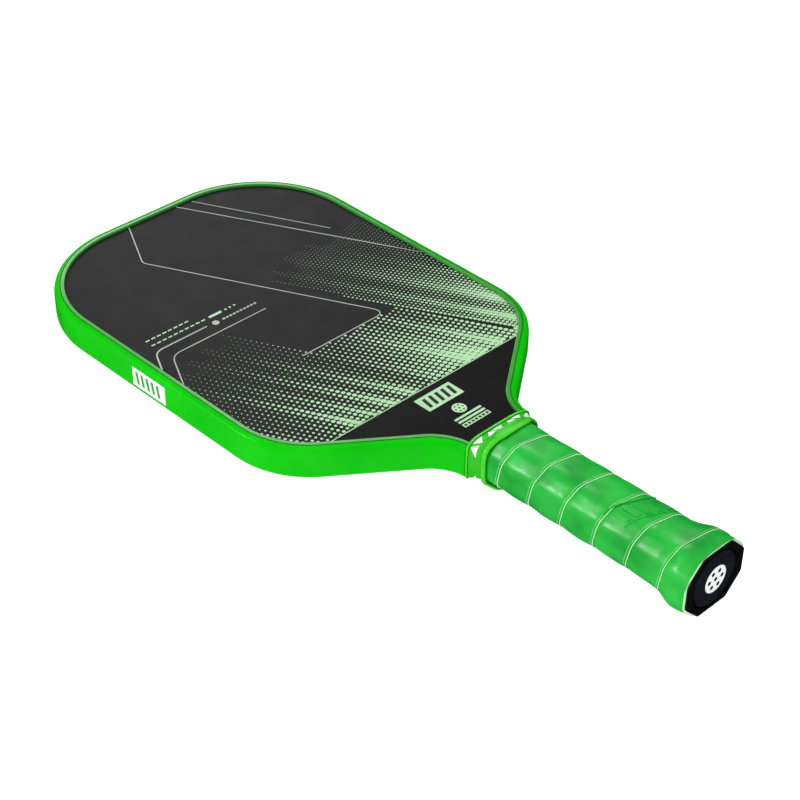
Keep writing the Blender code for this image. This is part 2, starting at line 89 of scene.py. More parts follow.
LIP_WIDTH = 5.95            # from the face window out to the guard's side
WINDOW_TOP = LENGTH - LIP_WIDTH
WINDOW_HALF = WIDTH / 2 - LIP_WIDTH
CORNER_RADIUS = 60.0
SHOULDER_RADIUS = 45.0
THROAT_RADIUS = 32.0
WINDOW_SIDE_FOOT = 88.5
SHOULDER_CORNER_Y = 202.0
SHOULDER_ANGLE = math.radians(35.6)
THROAT_ANGLE = math.radians(73.0)
THROAT_FOOT = (18.3, 142.8)     # where the throat's curve ends
THROAT_HALF = 17.4          # the window's half width at the collar's rim
GUARD_WALL = 4.55           # offset of the guard's inner wall
GUARD_GAP = 0.12            # between the guard and the face
RIM_GAP = 0.3               # between the guard's ends and the collar's rim

SKIRT_END = 27.0            # where the handle's flare ends
BARE_HALF_WIDTH = 15.2      # the octagon under the grip
BARE_HALF_HEIGHT = 13.2
FLARE_WIDTH = 3.2           # how far the flare swells the octagon's half width and half height
FLARE_HEIGHT = 2.05
FLARE_FULL = 1.0            # up to this height the flare is full
FLARE_EASE = 0.75           # the share of it that eases out at both ends
GRIP_END = 127.2            # under the collar
GRIP_UNDER = 0.3            # offsets of the grip's two sides from that octagon
GRIP_OVER = 2.2
GRIP_PITCH = 20.4           # advance of the strip in one turn
GRIP_SEAM_Y = 11.8          # the lowest seam's place at the middle of the front flat
SEAM_SHARE = 0.25           # the front flat's middle, as a share of a turn from the right side

COLLAR_FOOT = 123.4         # the sleeve's ends
COLLAR_HEAD = 139.2
COLLAR_WAIST = 130.6        # its bore widens from here to its mouth
COLLAR_FOOT_GROW = 3.1      # the sleeve's outer side at its foot, out from the bare octagon
COLLAR_HEAD_HALF = (22.1, 10.5)
COLLAR_MOUTH_HALF = (18.6, 8.3)
COLLAR_BORE_GROW = 2.75
FOOT_BOW = 3.3              # how far the foot rises at the sides
FOOT_FLAT = 7.0             # half width of its straight middle
FOOT_EASE = 10.0            # run from there to the full bow
RIM_BOW = 2.2               # how far the rim drops at the sides
RIM_FLAT = 11.0
BAND_FOOT = 3.4             # from the sleeve's foot to the plain band, past the thick rib
BAND_HEAD = 1.7             # from the rim to the band
BAND_SWELL = 1.3            # above 1, the band bulges

RECESS_RADIUS = 15.9
RECESS_DEPTH = 1.9
MEDALLION_RADIUS = 14.75
CAP_FLANGE = 0.9

# -------- the faces' print

PRINT_FOOT = 187.0          # the line where the halftone ends and the plain throat begins
PAINT = 0.03                # thickness of the paint
PAINT_SUNK = 0.02           # how far its underside lies in the surface
STREAK_ANGLE = math.radians(62)     # the streaks' slope, down to the right
FINE_FROM = 153.5           # across the streaks, where the fine lattice takes over
COARSE_LATTICE = ((3.0, 0.75), (-1.42, 2.72))
FINE_LATTICE = ((2.32, 0.61), (-1.16, 2.06))
SMALLEST_DOT = 0.16         # radius
INK_LEVEL = 0.5             # share of the face that is inked at the foot, between streaks
DOT_GAIN = 0.25             # how much the fullest dots swell, so that they merge
UNDER_LIP = 1.5             # how far the dots run on under the guard's lip
LATTICE_COLUMNS = range(-90, 91)    # enough dots to cover the face
LATTICE_ROWS = range(-10, 90)
# Streaks, as (place across the streaks, half width, ink added).
STREAKS = (
    (33.0, 8.0, -0.30), (42.5, 2.0, -0.18), (48.5, 2.6, 0.42), (53.0, 2.0, -0.22), (57.5, 2.2, 0.26),
    (63.5, 2.6, -0.24), (69.5, 2.6, 0.36), (75.5, 2.4, -0.24), (81.5, 2.6, 0.28), (87.0, 2.2, -0.16),
    (93.0, 4.0, -0.25), (98.0, 3.5, 0.12), (111.0, 4.0, 0.14), (119.0, 3.5, 0.50), (127.0, 5.0, 0.34),
    (139.0, 3.5, 0.48), (153.5, 2.2, 0.70), (163.5, 3.0, 0.70), (179.0, 4.5, 0.95), (187.0, 4.0, 0.50),
    (195.0, 2.5, 0.50),
)
FADE_POWER = 2.6            # above 1, most of the fading comes early
FADE_LEFT = (48.0, 112.0)   # place across the streaks, and how far up the ink fades out there
FADE_RIGHT = (180.0, 172.0)
QUIET = (99.0, 152.0, 249.5)        # no dots between these places across, above this height
PINSTRIPES = (              # thin lines above the halftone, as (points, corner radius, width)
    (((19.0, 412.6), (88.6, 280.0)), 0.0, 0.62),
    (((29.6, 411.4), (68.6, 334.0)), 0.0, 0.5),
    (((-15.0, 413.0), (-32.4, 378.0), (33.0, 250.4), (-27.0, 250.4)), 5.0, 0.62),
    (((-87.8, 273.0), (-76.0, 297.0), (-12.0, 297.0)), 9.0, 0.62),
    (((-87.8, 290.5), (-80.5, 305.4), (-46.0, 305.4)), 8.0, 0.85),
)
FOOT_LINE_WIDTH = 0.6
FOOT_LINE_OVERLAP = 1.0     # at each end, under the lip
# Slanted boxes where lettering would be, as (left, foot, width, height, lean, count, pitch).
DASH_ROWS = ((-78.6, 315.6, 2.5, 1.0, 0.3, 8, 3.7), (-78.6, 310.6, 2.5, 1.0, 0.3, 10, 3.7),
             (-40.2, 310.2, 8.6, 1.8, 0.5))
SMALL_DASH_ROW = (-35.8, 304.2, 1.7, 1.3, 0.3, 10, 2.4)
BADGE_BLOCK = (-13.0, 171.0, 24.6, 11.6)
BADGE_BARS = (-10.6, 173.0, 2.1, 7.6, 1.2, 5, 4.3)
MARK_BARS = ((-9.3, 156.3, 18.4, 1.5), (-9.3, 153.6, 18.4, 1.5), (-9.3, 149.6, 18.4, 2.9))
MARK_BAR_HOLES = (-8.4, 150.3, 1.5, 1.5, 0.0, 7, 2.5)
# Round dots, as (x, y, radius, points round it, count, pitch).
DASH_DOTS = (-28.4, 311.1, 0.7, 16, 3, 3.0)
SMALL_DASH_DOT = (-40.3, 304.9, 2.0, 24)
BALL = (0.0, 163.2, 3.9, 40)
BALL_HOLE = (0.0, 163.2, 0.62, 14)
BALL_RING = 2.4             # the ball's outer holes lie on a circle of this radius
BALL_RING_HOLE = 0.55

ARC_STEP = math.radians(2.0)
SIDE_STEPS = 30
RING = 96                   # points round the handle
TURN = 2 * math.pi


def at(x, y, z):
    """A point in millimetres from the butt end, as a point of the frame in metres."""
    return Vector((x * MM, BUTT_Y + y * MM, z * MM))


def held(share):
    return min(max(share, 0.0), 1.0)


def eased(share):
    """A share from 0 to 1 that starts and ends gently."""
    return share * share * (3.0 - 2.0 * share)


# -------- materials

def set_inputs(node, values):
    for name, value in values.items():
        node.inputs[name].default_value = value


def new_material(name, roughness, metallic=0.0, specular=0.5):
    """A Principled material, as (material, node tree, shader, object coordinates)."""
    made = bpy.data.materials.new(name)
    made.use_nodes = True
    tree = made.node_tree
    shader = tree.nodes["Principled BSDF"]
    set_inputs(shader, {"Roughness": roughness, "Metallic": metallic, "Specular IOR Level": specular})
    place = tree.nodes.new("ShaderNodeTexCoord").outputs["Object"]
    return made, tree, shader, place


def stretched(tree, place, scale):
    """The coordinates scaled by a factor for each axis."""
    mapping = tree.nodes.new("ShaderNodeMapping")
    mapping.inputs["Scale"].default_value = scale
    tree.links.new(place, mapping.inputs["Vector"])
    return mapping.outputs["Vector"]


def noise_node(tree, place, size, detail=3.0, roughness=0.55):
    """Noise whose blobs are about `size` millimetres across."""
    texture = tree.nodes.new("ShaderNodeTexNoise")
    set_inputs(texture, {"Scale": 1.0 / (size * MM), "Detail": detail, "Roughness": roughness})
    tree.links.new(place, texture.inputs["Vector"])
    return texture.outputs["Fac"]


def add_gloss(tree, shader, value, low, high):
    """Uneven roughness: noise's useful middle, 0.3 to 0.7, stretched to a range."""
    node = tree.nodes.new("ShaderNodeMapRange")
    set_inputs(node, {"From Min": 0.3, "From Max": 0.7, "To Min": low, "To Max": high})
    tree.links.new(value, node.inputs["Value"])
    tree.links.new(node.outputs["Result"], shader.inputs["Roughness"])


def blend_colours(tree, value, dark, light):
    """A colour ramp between two colours, driven by noise."""
    ramp = tree.nodes.new("ShaderNodeValToRGB")
    ramp.color_ramp.elements[0].position = 0.3
    ramp.color_ramp.elements[0].color = (*dark, 1.0)
    ramp.color_ramp.elements[1].position = 0.7
    ramp.color_ramp.elements[1].color = (*light, 1.0)
    tree.links.new(value, ramp.inputs["Fac"])
    return ramp.outputs["Color"]


def add_bump(tree, shader, height, strength, depth):
    """Bump of a depth in millimetres, on top of any bump that the shader already has."""
    bump = tree.nodes.new("ShaderNodeBump")
    set_inputs(bump, {"Strength": strength, "Distance": depth * MM})
    before = shader.inputs["Normal"].links
    if before:
        tree.links.new(before[0].from_socket, bump.inputs["Normal"])
    tree.links.new(height, bump.inputs["Height"])
    tree.links.new(bump.outputs["Normal"], shader.inputs["Normal"])


def grained(name, dark, light, roughness, patch, grain, depth, specular=0.5, swing=0.06):
    """A moulded, painted or foamed finish: patchy colour, uneven gloss and a fine grain."""
    made, tree, shader, place = new_material(name, roughness, specular=specular)
    blotch = noise_node(tree, place, patch)
    tree.links.new(blend_colours(tree, blotch, dark, light), shader.inputs["Base Color"])
    add_gloss(tree, shader, noise_node(tree, place, patch * 0.4), roughness - swing, roughness + swing)
    add_bump(tree, shader, noise_node(tree, place, grain, 2.0), 0.5, depth)
    return made


WEAVE = 3.4                 # size of the carbon's weave


def carbon_material():
    """Matte black peel-ply carbon: a fine crossed weave under a gritty coat, plain at the throat."""
    made, tree, shader, place = new_material("carbon_peel_ply", 0.5, specular=0.17)
    blotch = noise_node(tree, place, 45.0, 4.0)
    face = blend_colours(tree, blotch, (0.0088, 0.0088, 0.0088), (0.0102, 0.0102, 0.0102))

    height = tree.nodes.new("ShaderNodeSeparateXYZ")
    tree.links.new(place, height.inputs["Vector"])
    above = tree.nodes.new("ShaderNodeMath")
    above.operation = "GREATER_THAN"
    above.inputs[1].default_value = at(0, PRINT_FOOT, 0).y
    tree.links.new(height.outputs["Y"], above.inputs[0])
    printed = tree.nodes.new("ShaderNodeMix")
    printed.data_type = "RGBA"
    printed.inputs["A"].default_value = (0.002, 0.0018, 0.002, 1.0)
    tree.links.new(above.outputs["Value"], printed.inputs["Factor"])
    tree.links.new(face, printed.inputs["B"])
    tree.links.new(printed.outputs["Result"], shader.inputs["Base Color"])

    add_gloss(tree, shader, noise_node(tree, place, 12.0), 0.48, 0.53)
    for direction in ("X", "Y"):
        weave = tree.nodes.new("ShaderNodeTexWave")
        weave.bands_direction = direction
        set_inputs(weave, {"Scale": 1.0 / (WEAVE * MM), "Distortion": 0.6})
        tree.links.new(place, weave.inputs["Vector"])
        add_bump(tree, shader, weave.outputs["Fac"], 0.2, 0.02)
    add_bump(tree, shader, noise_node(tree, place, 0.35, 2.0), 0.5, 0.03)
    return made


def grip_material():
    """Satin polyurethane over cushion foam: cloudy colour, soft uneven gloss and fine pores."""
    made, tree, shader, place = new_material("grip_polyurethane", 0.34, specular=0.8)
    cloud = noise_node(tree, stretched(tree, place, (1.0, 0.7, 1.0)), 16.0, 2.0)
    colour = blend_colours(tree, cloud, (0.0, 0.32, 0.024), (0.014, 0.52, 0.046))
    tree.links.new(colour, shader.inputs["Base Color"])
    add_gloss(tree, shader, noise_node(tree, place, 9.0), 0.28, 0.42)
    set_inputs(shader, {"Subsurface Weight": 0.08, "Subsurface Radius": (0.2, 1.0, 0.2),
                        "Subsurface Scale": 1.5 * MM})
    add_bump(tree, shader, noise_node(tree, place, 6.0, 2.0), 0.6, 0.25)
    add_bump(tree, shader, noise_node(tree, place, 0.5, 2.0), 0.3, 0.02)
    return made


def steel_material():
    """Drawn wire: bright, with streaks along its length."""
    made, tree, shader, place = new_material("staple_wire", 0.3, metallic=1.0)
    streak = noise_node(tree, stretched(tree, place, (0.2, 3.0, 3.0)), 1.0)
    colour = blend_colours(tree, streak, (0.42, 0.42, 0.44), (0.66, 0.66, 0.68))
    tree.links.new(colour, shader.inputs["Base Color"])
    add_gloss(tree, shader, streak, 0.22, 0.4)
    add_bump(tree, shader, streak, 0.3, 0.01)
    return made


# As (name, dark and light colour, roughness, size of the patches, size and depth of the grain, specular
# level, swing of the roughness).
FINISHES = {
    "guard": ("guard_polyurethane", (0.0, 0.45, 0.0), (0.004, 0.53, 0.002), 0.3, 40.0, 0.5, 0.012, 0.12),
    # The lip's greyer green is a painted reflection of the sky on its top; the lip is moulded with the guard.
    "lip": ("guard_lip_painted_reflection", (0.035, 0.29, 0.03), (0.055, 0.34, 0.045), 0.25, 14.0, 0.5, 0.005, 0.8, 0.03),
    # The crease's dark green is painted shade, used in the guard's groove and at the edges of the collar's
    # ribs.
    "crease": ("crease_painted_shade", (0.0, 0.14, 0.0), (0.0, 0.19, 0.0), 0.5, 14.0, 0.5, 0.01, 0.1),
    "paint": ("print_pale_green", (0.36, 0.62, 0.34), (0.44, 0.70, 0.42), 0.55, 14.0, 0.3, 0.01, 0.3),
    "pin": ("print_grey_green", (0.34, 0.38, 0.32), (0.46, 0.51, 0.44), 0.55, 20.0, 0.3, 0.01, 0.3),
    "ink": ("print_black", (0.012, 0.012, 0.013), (0.020, 0.020, 0.021), 0.5, 10.0, 0.3, 0.01, 0.3),
    "white": ("print_white", (0.82, 0.83, 0.82), (0.92, 0.93, 0.92), 0.45, 10.0, 0.3, 0.01, 0.4),
    "label_ink": ("label_green", (0.01, 0.30, 0.02), (0.02, 0.38, 0.03), 0.45, 8.0, 0.3, 0.01, 0.4),
    "collar": ("collar_rubber", (0.012, 0.44, 0.004), (0.035, 0.56, 0.012), 0.3, 12.0, 0.4, 0.015),
    # The ribs' brighter, yellower green is a painted highlight; they are the sleeve's own rubber.
    "rib": ("collar_rib_painted_highlight", (0.035, 0.55, 0.008), (0.07, 0.68, 0.020), 0.3, 12.0, 0.4, 0.015, 0.6),
    "edge": ("grip_edge", (0.50, 0.86, 0.46), (0.66, 0.95, 0.62), 0.5, 6.0, 0.4, 0.02, 0.4),
    "cap": ("cap_nylon", (0.003, 0.003, 0.004), (0.006, 0.006, 0.007), 0.32, 10.0, 0.3, 0.01, 0.3),
    "medallion": ("medallion_abs", (0.007, 0.007, 0.011), (0.012, 0.012, 0.018),
                  0.16, 12.0, 0.3, 0.004, 0.5, 0.03),
    "core": ("core_polymer", (0.72, 0.73, 0.71), (0.82, 0.83, 0.81), 0.55, 9.0, 0.8, 0.05),
    "foam": ("cast_foam", (0.66, 0.62, 0.52), (0.80, 0.77, 0.68), 0.85, 7.0, 0.7, 0.15, 0.2, 0.05),
    "scrim": ("glass_veil", (0.36, 0.36, 0.34), (0.56, 0.56, 0.54), 0.8, 2.0, 0.25, 0.08, 0.3, 0.05),
    "adhesive": ("adhesive_film", (0.62, 0.56, 0.40), (0.74, 0.69, 0.54), 0.4, 5.0, 0.6, 0.03),
    "tape": ("finishing_tape_black", (0.018, 0.018, 0.019), (0.032, 0.032, 0.034), 0.5, 4.0, 0.4, 0.03),
}


def make_materials():
    surfaces = {key: grained(*finish) for key, finish in FINISHES.items()}
    return {**surfaces, "face": carbon_material(), "grip": grip_material(), "steel": steel_material()}


# -------- making pieces

def add_object(name, data):
    made = bpy.data.objects.new(name, data)
    bpy.context.scene.collection.objects.link(made)
    return made


def add_piece(name, bm, surfaces, sharp=None, replaces=()):
    """Turn a bmesh into a piece that rides on the paddle."""
    bmesh.ops.recalc_face_normals(bm, faces=bm.faces)
    mesh = bpy.data.meshes.new(name)
    bm.to_mesh(mesh)
    bm.free()
    for surface in surfaces:
        mesh.materials.append(surface)
    if sharp is not None:
        mesh.shade_smooth()
        mesh.set_sharp_from_angle(angle=math.radians(sharp))
    piece = add_object(name, mesh)
    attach(piece, "root")
    if replaces:
        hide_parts(*replaces)
    return piece


def add_rows(bm, rows, loop=False, paint=None):
    """Skin closed rows of points. loop joins the last row to the first, instead of capping both."""
    verts = [[bm.verts.new(p) for p in row] for row in rows]
    pairs = list(zip(verts, verts[1:]))
    if loop:
        pairs.append((verts[-1], verts[0]))
    count = len(rows[0])
    for row, after in pairs:
        for i in range(count):
            j = (i + 1) % count
            face = bm.faces.new((row[i], row[j], after[j], after[i]))
            face.material_index = paint[i] if paint else 0
    if not loop:
        bm.faces.new(verts[0][::-1])
        bm.faces.new(verts[-1])


def rows_piece(name, rows, surfaces, sharp, replaces=(), loop=False):
    bm = bmesh.new()
    add_rows(bm, rows, loop)
    return add_piece(name, bm, surfaces, sharp, replaces)


# -------- the guard

def arc_normals(start, end):
    steps = max(2, round(abs(end - start) / ARC_STEP))
    return [start + (end - start) * i / steps for i in range(steps + 1)]


def direction(angle):
    return Vector((math.cos(angle), math.sin(angle)))


def window_right_half():
    """The face window's right half as (point, outward normal) pairs, from the top to the collar."""
    taper = math.atan2(WINDOW_HALF - WINDOW_SIDE_FOOT, WINDOW_TOP - CORNER_RADIUS - SHOULDER_CORNER_Y)
    corner = Vector((WINDOW_HALF - CORNER_RADIUS, WINDOW_TOP - CORNER_RADIUS))
    shoulder_normal = SHOULDER_ANGLE - math.pi / 2
    throat_normal = THROAT_ANGLE - math.pi / 2
    tangent = SHOULDER_RADIUS * math.tan((-taper - shoulder_normal) / 2)
    along_side = Vector((math.sin(taper), math.cos(taper)))
    side_foot = Vector((WINDOW_SIDE_FOOT, SHOULDER_CORNER_Y)) + along_side * tangent
    shoulder = side_foot - direction(-taper) * SHOULDER_RADIUS
    throat = Vector(THROAT_FOOT) + direction(throat_normal) * THROAT_RADIUS

    path = [(Vector((0.0, WINDOW_TOP)), math.pi / 2)]
    path += [(corner + direction(a) * CORNER_RADIUS, a) for a in arc_normals(math.pi / 2, -taper)]
    side_top = path[-1][0]
    path += [(side_top.lerp(side_foot, i / SIDE_STEPS), -taper) for i in range(1, SIDE_STEPS)]
    path += [(shoulder + direction(a) * SHOULDER_RADIUS, a) for a in arc_normals(-taper, shoulder_normal)]
    path += [(throat - direction(a) * THROAT_RADIUS, a) for a in arc_normals(shoulder_normal, throat_normal)]
    return path


def rim_height(x):
    """Where the collar's head end lies: its rim bows towards the butt at the sides."""
    return COLLAR_HEAD - RIM_BOW * held((abs(x) - RIM_FLAT) / (COLLAR_HEAD_HALF[0] - RIM_FLAT)) ** 2


def guard_section():
    """The guard's U as (offset from the window, z, finish): a sloping lip, a crease, and the side. Finish 1
    paints a reflection on the lip, and finish 2 paints shade in the crease.
    """
    top = LIP_TOP
    upper = [
        (0.0, FACE + GUARD_GAP, 1), (0.0, top - 0.35, 1),
        (0.1, top - 0.1, 1), (0.3, top, 1), (1.2, top - 0.03, 1),
        (2.1, top - 0.1, 2), (2.25, top - 0.38, 2), (2.5, top - 0.40, 2), (2.65, top - 0.16, 0),
        (3.2, top - 0.26, 0), (3.9, top - 0.48, 0), (4.6, top - 0.88, 0), (5.15, top - 1.45, 0),
        (5.55, top - 2.25, 0), (5.8, top - 3.2, 0), (5.92, top - 4.3, 0), (LIP_WIDTH, top - 5.9, 0),
        (LIP_WIDTH, 2.0, 0),
    ]
    finishes = [finish for _, _, finish in upper]
    lower = [(d, -z, finish) for (d, z, _), finish in zip(upper[::-1], [0] + finishes[-2::-1])]
    return upper + lower + [(GUARD_WALL, -FACE - GUARD_GAP, 0), (GUARD_WALL, FACE + GUARD_GAP, 0)]


def make_guard(surfaces):
    """The moulded guard, whose ends meet the collar's bowed rim."""
    section = guard_section()
    right = []
    for point, angle in window_right_half():
        right.append([at(*(point + direction(angle) * d), z) for d, z, _ in section])
    right.append([at(THROAT_HALF + d, rim_height(THROAT_HALF + d) - RIM_GAP, z) for d, z, _ in section])
    mirror = Matrix.Diagonal((-1, 1, 1))
    rows = [[mirror @ p for p in row] for row in right[:0:-1]] + right
    bm = bmesh.new()
    add_rows(bm, rows, paint=[finish for _, _, finish in section])
    # The lip's surface carries a painted reflection and the crease's surface a painted shade.
    finishes = [surfaces["guard"], surfaces["lip"], surfaces["crease"]]
    add_piece("edge_guard_moulding", bm, finishes, 28, ["edge_guard"])


# The white block on the guard's left side and its bars, as (low end, high end, half height, lean).
LABEL = (280.0, 306.5, 5.6, 0.0)
LABEL_BARS = [(284.0 + 4.2 * k, 286.1 + 4.2 * k, 3.6, 1.4) for k in range(5)]


def side_half_width(y):
    """Half width of the window beside the straight side."""
    share = (y - SHOULDER_CORNER_Y) / (WINDOW_TOP - CORNER_RADIUS - SHOULDER_CORNER_Y)
    return WINDOW_SIDE_FOOT + (WINDOW_HALF - WINDOW_SIDE_FOOT) * share


def side_bulge(z):
    """The guard's offset from the window at a height on its side."""
    points = sorted((height, d) for d, height, _ in guard_section() if d > GUARD_WALL + 0.1)
    for (low, a), (high, b) in zip(points, points[1:]):
        if low <= z <= high:
            return a + (b - a) * (z - low) / max(high - low, 1e-9)
    return LIP_WIDTH


def close_border(bm, under, over, border):
    """Join two layers of vertices all round, along a border of (row, column) places."""
    for (a, b), (c, d) in zip(border, border[1:] + border[:1]):
        bm.faces.new((under[a][b], under[c][d], over[c][d], over[a][b]))


def add_plate(bm, rows, columns, outs, place):
    """A thin closed plate. place gives the point at a share of its rows and of its columns."""
    under, over = [[[bm.verts.new(place(i / rows, j / columns, out)) for j in range(columns + 1)]
                    for i in range(rows + 1)] for out in outs]
    for grid in (under, over):
        for i in range(rows):
            for j in range(columns):
                bm.faces.new((grid[i][j], grid[i][j + 1], grid[i + 1][j + 1], grid[i + 1][j]))
    border = [(0, j) for j in range(columns + 1)] + [(i, columns) for i in range(1, rows + 1)]
    border += [(rows, j) for j in range(columns - 1, -1, -1)] + [(i, 0) for i in range(rows - 1, 0, -1)]
    close_border(bm, under, over, border)


def add_side_patch(bm, low, high, half, lean, rise):
    """A plate on the guard's left side. Lean slants its ends along Y."""
    def place(up, along, out):
        z = half * (2 * up - 1)
        y = low + (high - low) * along + lean * up
        return at(-side_half_width(y) - side_bulge(z) - out, y, z)

    add_plate(bm, rows=8, columns=16, outs=(-PAINT_SUNK, rise), place=place)


def make_guard_label(surfaces):
    """The white block on the left side, with plain slanted bars in place of lettering."""
    bm = bmesh.new()
    add_side_patch(bm, *LABEL, PAINT)
    add_piece("guard_label", bm, [surfaces["white"]], 30)
    bm = bmesh.new()
    for bar in LABEL_BARS:
        add_side_patch(bm, *bar, 2 * PAINT)
    add_piece("guard_label_bars", bm, [surfaces["label_ink"]], 30)


# -------- the faces' print

def inside_window(point, outline):
    odd = False
    for a, b in zip(outline, outline[1:] + outline[:1]):
        if (a.y > point.y) != (b.y > point.y):
            if point.x < a.x + (point.y - a.y) * (b.x - a.x) / (b.y - a.y):
                odd = not odd
    return odd


def window_outline(grow):
    right = [p + direction(a) * grow for p, a in window_right_half()]
    return [Vector((-p.x, p.y)) for p in right[:0:-1]] + right


def across(point):
    """A point's place across the streaks."""
    return point.x * math.sin(STREAK_ANGLE) + point.y * math.cos(STREAK_ANGLE)


def ink_share(point):
    """How much of the face is inked at a point: streaks that fade out towards the tip."""
    place = across(point)
    level = INK_LEVEL + sum(add * math.exp(-((place - t) / half) ** 2) for t, half, add in STREAKS)
    slope = (FADE_RIGHT[1] - FADE_LEFT[1]) / (FADE_RIGHT[0] - FADE_LEFT[0])
    reach = FADE_LEFT[1] + slope * (place - FADE_LEFT[0])
    run = max(0.0, 1.0 - (point.y - PRINT_FOOT) / reach)
    return held(level * run ** FADE_POWER)


def dot_outline(centre, radius, lattice):
    """A round dot, cut off where it meets the next dots of its lattice."""
    a, b = Vector(lattice[0]), Vector(lattice[1])
    next_dots = [s * v for v in (a, b, a + b, a - b) for s in (1, -1)]
    points = 8 if radius < 0.5 else 16
    outline = []
    for k in range(points):
        out = direction(TURN * k / points)
        reach = radius
        for step in next_dots:
            towards = out.dot(step)
            if towards > 0:
                reach = min(reach, step.length_squared / 2 / towards)
        outline.append(centre + out * reach)
    return outline


def halftone_dots():
    """Every dot's outline, on the coarse lattice and, right of the boundary streak, the fine one."""
    window = window_outline(UNDER_LIP)
    outlines = []
    for lattice, fine in ((COARSE_LATTICE, False), (FINE_LATTICE, True)):
        a, b = Vector(lattice[0]), Vector(lattice[1])
        cell = abs(a.x * b.y - a.y * b.x)
        widest = math.sqrt(cell / math.pi)
        for i in LATTICE_COLUMNS:
            for j in LATTICE_ROWS:
                centre = Vector((0.0, PRINT_FOOT)) + a * i + b * j
                if (across(centre) > FINE_FROM) != fine or centre.y < PRINT_FOOT:
                    continue
                if QUIET[0] < across(centre) < QUIET[1] and centre.y > QUIET[2]:
                    continue
                share = ink_share(centre)
                radius = widest * math.sqrt(share) * (1.0 + DOT_GAIN * share ** 4)
                if radius < SMALLEST_DOT or not inside_window(centre, window):
                    continue
                outline = dot_outline(centre, radius, lattice)
                outlines.append([Vector((p.x, max(p.y, PRINT_FOOT))) for p in outline])
    return outlines


def add_prism(bm, outline, flip, rise):
    """A flat patch of paint on the front face, or turned over on the back."""
    low = FACE - PAINT_SUNK
    high = FACE + rise
    rows = [[at(p.x * flip, p.y, z * flip) for p in outline] for z in (low, high)]
    add_rows(bm, rows)


def rounded(points, radius):
    """A polyline with its inner corners rounded, over less than half of each leg."""
    steps, most = 6, 0.45
    path = [Vector(points[0])]
    for before, here, after in zip(points, points[1:], points[2:]):
        here = Vector(here)
        back = (Vector(before) - here).normalized()
        on = (Vector(after) - here).normalized()
        opening = back.angle(on)
        run = min(radius / math.tan(opening / 2), (Vector(before) - here).length * most,
                  (Vector(after) - here).length * most)
        start, end = here + back * run, here + on * run
        for k in range(steps + 1):
            t = k / steps
            path.append(start.lerp(here, t).lerp(here.lerp(end, t), t))
    return path + [Vector(points[-1])]


def strip_rows(path, width):
    """A line of constant width, as the pairs of points on its two sides."""
    rows = []
    for i, point in enumerate(path):
        along = (path[min(i + 1, len(path) - 1)] - path[max(i - 1, 0)]).normalized()
        side = Vector((-along.y, along.x)) * width / 2
        rows.append((point + side, point - side))
    return rows


def add_line(bm, path, width, flip):
    """A painted line, as a closed strip."""
    low, high = FACE - PAINT_SUNK, FACE + PAINT
    rows = []
    for a, b in strip_rows(path, width):
        corners = ((a, low), (b, low), (b, high), (a, high))
        rows.append([at(p.x * flip, p.y, z * flip) for p, z in corners])
    add_rows(bm, rows)


def boxes(x, y, width, height, lean=0.0, count=1, pitch=0.0):
    """A row of boxes as outlines, from the first one's low left corner, leaning to the right."""
    row = []
    for left in [x + pitch * k for k in range(count)]:
        corners = ((left, y), (left + width, y), (left + width + lean, y + height), (left + lean, y + height))
        row.append([Vector(p) for p in corners])
    return row


def disc(centre, radius, points):
    return [Vector(centre) + direction(TURN * k / points) * radius for k in range(points)]


def dots(x, y, radius, points, count=1, pitch=0.0):
    return [disc((x + pitch * k, y), radius, points) for k in range(count)]


def hole_ring(centre, radius):
    """The places of a ball's six outer holes."""
    return [Vector(centre) + direction(TURN * k / 6) * radius for k in range(6)]


def face_marks():
    """The plain stand-ins for the printed marks, as (name, outlines, surface, height of the paint)."""
    dashes = [outline for row in DASH_ROWS for outline in boxes(*row)] + dots(*DASH_DOTS)
    ball = dots(*BALL) + [outline for row in MARK_BARS for outline in boxes(*row)]
    holes = dots(*BALL_HOLE)
    holes += [disc(place, BALL_RING_HOLE, BALL_HOLE[3]) for place in hole_ring(BALL[:2], BALL_RING)]
    return (
        ("_badge", boxes(*BADGE_BLOCK), "paint", PAINT),
        ("_badge_bars", boxes(*BADGE_BARS), "ink", 2 * PAINT),
        ("_ball_mark", ball, "paint", PAINT),
        ("_ball_holes", holes + boxes(*MARK_BAR_HOLES), "ink", 2 * PAINT),
        ("_dashes", dashes, "paint", PAINT),
        ("_small_dashes", boxes(*SMALL_DASH_ROW) + dots(*SMALL_DASH_DOT), "pin", PAINT),
    )


def make_prints(surfaces, side, flip):
    """Everything printed on one face. The back face carries the same print, turned over."""
    bm = bmesh.new()
    for outline in halftone_dots():
        add_prism(bm, outline, flip, PAINT)
    add_piece(side + "_halftone", bm, [surfaces["paint"]])

    bm = bmesh.new()
    for points, radius, width in PINSTRIPES:
        add_line(bm, rounded(points, radius), width, flip)
    add_piece(side + "_pinstripes", bm, [surfaces["pin"]])

    bm = bmesh.new()
    reach = throat_half(PRINT_FOOT) + FOOT_LINE_OVERLAP
    add_line(bm, [Vector((-reach, PRINT_FOOT)), Vector((reach, PRINT_FOOT))], FOOT_LINE_WIDTH, flip)
    add_piece(side + "_foot_line", bm, [surfaces["paint"]])

    for name, outlines, surface, rise in face_marks():
        bm = bmesh.new()
        for outline in outlines:
            add_prism(bm, outline, flip, rise)
        add_piece(side + name, bm, [surfaces[surface]])


def throat_half(y):
    """Half width of the window at a height on the throat."""
    throat = [point for point, _ in window_right_half() if point.y < SHOULDER_CORNER_Y]
    return min(throat, key=lambda point: abs(point.y - y)).x


# -------- handle sections

